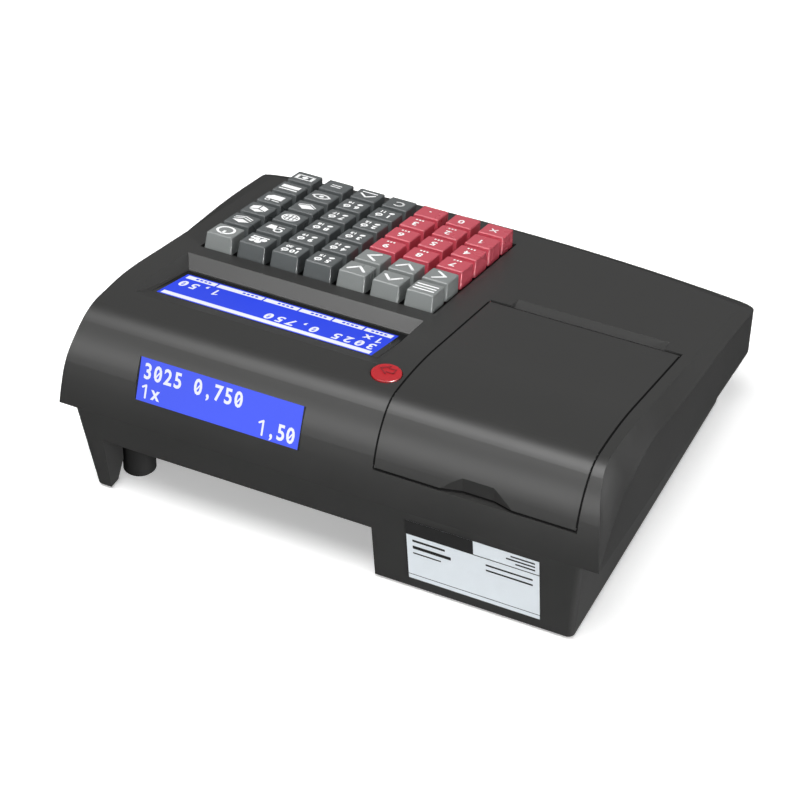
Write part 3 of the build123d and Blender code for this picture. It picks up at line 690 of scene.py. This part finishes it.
LIT_WHITE = glowing("lit_white", "f2f5ff", 1.0)
print("a lit area changes by", PATCHINESS, "of its strength at most")

# %% [markdown]
# ## The operator's display
#
# Under two lines of figures the screen shows a white bar cut into six fields, each named in
# blue. The names could be text, but at this size four short marks read as a word. The bar at
# the top is plain. The fields differ in width, so their ends are listed.

# %% The operator's screen
LIT_BLUE_OPERATOR = glowing("lit_blue_operator", "1f45f5", 0.9)
FIELDS = ((-0.5, 12.2), (13.1, 27.1), (27.9, 42.9), (43.7, 59.8), (60.6, 82.5), (83.3, 97.5))
FIELD_LOW, FIELD_HIGH = 6.4, 10.2
MARK_Y = 8.2
MARK_STEPS = (2.6, 4.6, 6.6, 8.6)  # from the start of a field to its four marks
MARK_WIDTH, MARK_HEIGHT = 1.3, 1.5

lit_area("operator_lit", (-2.0, 5.2), (98.9, 33.3), OPERATOR_FACE, LIT_BLUE_OPERATOR)

bars = [panel((-0.5, 28.9), (97.5, 32.4))]
bars += [panel((start, FIELD_LOW), (end, FIELD_HIGH)) for start, end in FIELDS]
lay(bars, "operator_bars", layer(OPERATOR_FACE, 2), LIT_WHITE, "case")

mark_starts = [start + step for start, end in FIELDS for step in MARK_STEPS]
marks = [bar((x, MARK_Y), (x + MARK_WIDTH, MARK_Y), MARK_HEIGHT) for x in mark_starts]
lay(marks, "operator_marks", layer(OPERATOR_FACE, 3), LIT_BLUE_OPERATOR, "case")

readings = reading("3025 0,750", 6.6, 2.2, 5.3, 23.9)
readings += reading("1x", 6.2, 2.4, 5.3, 16.0)
readings += reading("1,50", 6.6, 79.6, 5.1, 16.2)
lay(readings, "operator_figures", layer(OPERATOR_FACE, 2), LIT_WHITE, "case")
print("operator's display:", len(marks), "marks in", len(FIELDS), "fields")

# %% [markdown]
# ## The customer's display
#
# The customer's screen repeats the same figures in a smaller window. Its light is a little
# paler, so it has a blue of its own. A copy of the operator's figures could be scaled down,
# but their spacing differs, so they are laid out again with the same function.

# %% The customer's screen
LIT_BLUE_CUSTOMER = glowing("lit_blue_customer", "4860ff", 0.95)

lit_area("customer_lit", (-38.0, -9.6), (37.2, 9.5), CUSTOMER_FACE, LIT_BLUE_CUSTOMER)

rows = reading("3025 0,750", 7.0, -34.1, 4.7, 3.5)
rows += reading("1x", 6.2, -34.2, 4.8, -5.0)
rows += reading("1,50", 7.0, 20.4, 4.3, -4.9)
lay(rows, "customer_figures", layer(CUSTOMER_FACE, 2), LIT_WHITE, "case")
print("customer's display:", len(rows), "strokes")

# %% [markdown]
# ## Button sign and label
#
# The release button carries a small open arrow, embossed on the real cap; its darker red is
# painted shade in place of the relief. The plate on the rear is an adhesive label with a dark
# strip and a few rules. Both could be textures, but as thin pieces they need no image. The
# label has no words, so that the part can stand in for any make.

# %% Small markings
# Darker red, painted as the shade of the arrow embossed on the cap.
SIGN_SHADE_RED = plastic("sign_painted_shade", "8a1822", 0.4)
PAPER = plastic("label_paper", "ccd3d8", 0.55, grain=1500.0, depth=0.000006, tint=0.03)
PRINT = plastic("label_print", "0e0f10", 0.5, tint=0.05)
SIGN_LIFT = 0.04
LABEL_LEFT, LABEL_RIGHT = -29.1, 29.4
LABEL_FOOT, LABEL_TOP = -17.8, 17.9
STRIP_FOOT, STRIP_RIGHT = 9.4, 0.6
RULES = (  # start, end, height and width of each
    (STRIP_RIGHT, LABEL_RIGHT, 9.6, 0.5),
    (17.0, 27.6, 15.9, 0.9),
    (15.0, 27.6, 13.9, 0.9),
    (19.0, 27.6, 11.9, 0.9),
    (-26.5, -12.0, 6.2, 1.3),
    (-26.5, -9.5, 2.2, 1.9),
    (-26.5, -14.0, -1.4, 0.8),
    (6.0, 26.5, 5.6, 1.0),
    (6.0, 26.5, 2.4, 1.0),
    (LABEL_LEFT, LABEL_RIGHT, -15.2, 0.4),
)

sign = path([(0.2, -4.6), (3.4, -1.8), (0.2, 1.0)], 0.8)
sign += path([(0.2, -3.2), (-2.8, -3.2), (-2.8, -0.4), (0.2, -0.4)], 0.7)
lay(sign, "button_sign", raised(BUTTON_FACE, SIGN_LIFT), SIGN_SHADE_RED, "release_button")

paper = panel((LABEL_LEFT, LABEL_FOOT), (LABEL_RIGHT, LABEL_TOP))
lay([paper], "rear_label", layer(LABEL_FACE, 2), PAPER, "case")

strip = panel((LABEL_LEFT, STRIP_FOOT), (STRIP_RIGHT, LABEL_TOP))
rules = [bar((start, y), (end, y), width) for start, end, y, width in RULES]
lay([strip] + rules, "rear_label_print", layer(LABEL_FACE, 3), PRINT, "case")
print("label:", round(LABEL_RIGHT - LABEL_LEFT, 1), "x", round(LABEL_TOP - LABEL_FOOT, 1), "mm")

# %% [markdown]
# ## Painted shadow along the lid's gap
#
# The gap around the lid lies in shade, which draws a black line around it. That shade is
# painted: a black strip lies over the gap. A curve drawn by hand would miss the lid's rounded
# rear, so the strip is measured instead. Rays are cast at the lid from outside, towards an
# axis that runs through the machine, and each hit gives one pair of vertices of a narrow
# strip. Two strips follow the sides of the lid and one its lower edge at the rear.

# %% Measure the lid
COVER = frame["nodes"]["printer_cover"]
AXIS_Y, AXIS_Z = 40.0, 30.0
RAY_START = 0.2  # m, well outside the machine
GRAZING = 0.3  # cosine below which a ray only grazes a face
TOP_TURN = 80.0  # degrees, a ray at this angle meets the lid anywhere along its width
SCAN_START, SCAN_STEP, SCAN_COUNT = -115.0, 0.1, 1000


def skim(x, turn):
    """Where a ray towards the axis meets the lid, and the face's normal, in mm."""
    way = Vector((0.0, math.cos(math.radians(turn)), math.sin(math.radians(turn))))
    axis = Vector((x, AXIS_Y, AXIS_Z)) * MM
    hit, place, normal, _ = COVER.ray_cast(axis + way * RAY_START, -way)
    return (place / MM, normal) if hit and normal.dot(way) > GRAZING else None


bpy.context.view_layer.update()
columns = [SCAN_START + SCAN_STEP * i for i in range(SCAN_COUNT)]
across = [x for x in columns if skim(x, TOP_TURN)]
low_x, high_x = across[0] - SCAN_STEP, across[-1] + SCAN_STEP
print("lid from x", round(low_x, 1), "to", round(high_x, 1))

# %% Painted shadow of the lid's gap
# A black strip painted over the gap around the lid, as the gap's shadow.
GAP_SHADE = plastic("painted_gap_shadow", "060606", 0.8, tint=0.05, specular=0.05)
EDGE_INSET = 0.5  # rays are cast this far inside an edge
SIDE_WIDTH = 0.8
SIDE_OUT = 0.1  # how far the middle of a side strip lies outside the lid's edge
SIDE_LIFT = 0.06
SIDE_TURNS = range(160, 10, -2)  # degrees, from the front edge over the top to the rear
LOWER_DROP, LOWER_RISE = 0.5, 0.2  # reach of the lower strip below and above the foot
LOWER_LIFT = 0.08
LOWER_STEPS = 100
FOOT_TURNS = [50.0 - 0.1 * i for i in range(400)]  # degrees, down the rounded rear


def ribbon(pairs):
    """A strip through pairs of points: a grid whose vertices are moved there."""
    bpy.ops.mesh.primitive_grid_add(x_subdivisions=1, y_subdivisions=len(pairs) - 1)
    strip = bpy.context.object
    for vertex, place in zip(strip.data.vertices, [point for pair in pairs for point in pair]):
        vertex.co = place
    return strip


def side_strip(edge, inwards):
    """A strip along one side of the lid, over its whole length."""
    left = edge - SIDE_OUT * inwards - SIDE_WIDTH / 2
    hits = [hit for turn in SIDE_TURNS if (hit := skim(edge + EDGE_INSET * inwards, turn))]
    places = [place + normal * SIDE_LIFT for place, normal in hits]
    return ribbon([((left, p.y, p.z), (left + SIDE_WIDTH, p.y, p.z)) for p in places])


def lowest_point(x):
    """The foot of the lid at one place across: the lowest point that a ray meets."""
    hits = [hit for turn in FOOT_TURNS if (hit := skim(x, turn))]
    return min((place for place, normal in hits), key=lambda place: place.z)


def lower_strip():
    first, last = low_x + EDGE_INSET, high_x - EDGE_INSET
    feet = [lowest_point(first + (last - first) * i / LOWER_STEPS) for i in range(LOWER_STEPS + 1)]
    print("foot of the lid: z", round(min(p.z for p in feet), 1), "to", round(max(p.z for p in feet), 1))
    outside = [(p.x, p.y + LOWER_LIFT, p.z) for p in feet]
    return ribbon([((x, y, z - LOWER_DROP), (x, y, z + LOWER_RISE)) for x, y, z in outside])


gap_shadow_strips = [side_strip(low_x, 1), side_strip(high_x, -1), lower_strip()]
lay(gap_shadow_strips, "lid_gap_shadow", Matrix.Scale(MM, 4), GAP_SHADE, "lid")

# %% [markdown]
# ## Floor and surroundings
#
# A picture for a catalogue is taken on a white table that runs out of sight. A curved
# backdrop would do that too, but a plain floor in a white world is simpler and works from
# every side. The floor shines a little, so that it is white without more light on the
# machine. It hides from glossy rays, or the steep sides of the housing would mirror it and
# turn grey.

# %% Floor
bpy.ops.mesh.primitive_plane_add(size=8.0, location=(0.0, 0.0, 0.0))
floor = bpy.context.object
floor.name = "floor"
floor_material, _, floor_shader = blank_material("floor")
floor_shader["Base Color"].default_value = (0.95, 0.95, 0.95, 1.0)
floor_shader["Roughness"].default_value = 0.9
floor_shader["Specular IOR Level"].default_value = 0.0
floor_shader["Emission Color"].default_value = (1.0, 1.0, 1.0, 1.0)
floor_shader["Emission Strength"].default_value = 0.38
floor.data.materials.append(floor_material)
floor.visible_glossy = False
print("floor laid")

# %% [markdown]
# ## The world
#
# The world is the light from all around a real room. An image of a room would bring in
# windows that reflect in the housing, so a plain white is used. It lights the machine only
# faintly, is nearly dark below the horizon for the reason above, and is about white where
# the camera looks straight at it.

# %% World
LOWER_STRENGTH = 0.05  # everywhere
SKY_STRENGTH = 0.3  # added above the horizon
SEEN_STRENGTH = 0.8  # added where the camera looks straight at the world

world = bpy.data.worlds.new("studio")
bpy.context.scene.world = world
world.use_nodes = True
studio = world.node_tree
background = studio.nodes["Background"]
background.inputs["Color"].default_value = (1.0, 1.0, 1.0, 1.0)
heading = node(studio, "ShaderNodeSeparateXYZ")
studio.links.new(node(studio, "ShaderNodeTexCoord").outputs["Generated"], heading.inputs[0])
above = math_node(studio, "GREATER_THAN", heading.outputs["Z"], 0.0)
sky = math_node(studio, "MULTIPLY", above, SKY_STRENGTH)
camera_ray = node(studio, "ShaderNodeLightPath").outputs["Is Camera Ray"]
seen = math_node(studio, "MULTIPLY", camera_ray, SEEN_STRENGTH)
lower = math_node(studio, "ADD", seen, LOWER_STRENGTH)
studio.links.new(math_node(studio, "ADD", sky, lower), background.inputs["Strength"])
print("world:", world.name)

# %% [markdown]
# ## Lamps
#
# A window and a ceiling light are broad, so all lamps here are rectangles. Small ones would
# make hard shadows. The overhead and the flank lamp give the general light. The other two
# are hidden from diffuse rays, so they add highlights only: one draws the long gleam along
# the rounded rear, the other the thin lines on the upright edges.

# %% Soft lights


def soft_light(name, place, target, size, power):
    """A rectangle of light at a place, turned to a target. Metres and watts."""
    light = bpy.data.lights.new(name, "AREA")
    light.shape = "RECTANGLE"
    light.size, light.size_y = size
    light.energy = power
    lamp = bpy.data.objects.new(name, light)
    bpy.context.scene.collection.objects.link(lamp)
    lamp.location = place
    lamp.rotation_euler = (Vector(target) - Vector(place)).to_track_quat("-Z", "Y").to_euler()
    return lamp


soft_light("overhead", (0.1, 0.5, 1.5), (0.0, 0.05, 0.05), (1.2, 0.9), 24.0)
soft_light("flank", (-1.4, 0.4, 0.7), (0.0, 0.0, 0.04), (0.8, 0.6), 2.0)
gleam = soft_light("gleam", (0.5, 1.35, 0.4), (0.0, 0.09, 0.07), (1.3, 0.6), 10.0)
rim = soft_light("rim", (-1.39, 0.62, 0.5), (0.0, 0.0, 0.07), (0.4, 0.35), 210.0)
for lamp in (gleam, rim):
    lamp.visible_diffuse = False
print("lamps:", [light.name for light in bpy.data.lights])

# %% [markdown]
# ## Camera
#
# The machine is seen from the customer's side and from above, a little over a metre away.
# A wide lens from close by would show the near corner far too large, so the lens is a long
# one, which keeps the sides nearly parallel. The small shifts move the picture without
# turning the camera. The Standard view transform shows colours as written.

# %% Camera
camera_data = bpy.data.cameras.new("camera")
camera_data.sensor_width = 36.0
camera_data.lens = 112.63
camera_data.shift_x = 0.00116
camera_data.shift_y = -0.00015
camera_data.clip_start = 0.01
camera = bpy.data.objects.new("camera", camera_data)
bpy.context.scene.collection.objects.link(camera)
camera.location = (-0.3515655, 0.8012815, 0.6989052)
camera.rotation_euler = [math.radians(angle) for angle in (52.1685, -1.0909, -154.829)]
bpy.context.scene.camera = camera
bpy.context.scene.view_settings.view_transform = "Standard"
print("camera", round(camera.location.length, 2), "m from the origin")
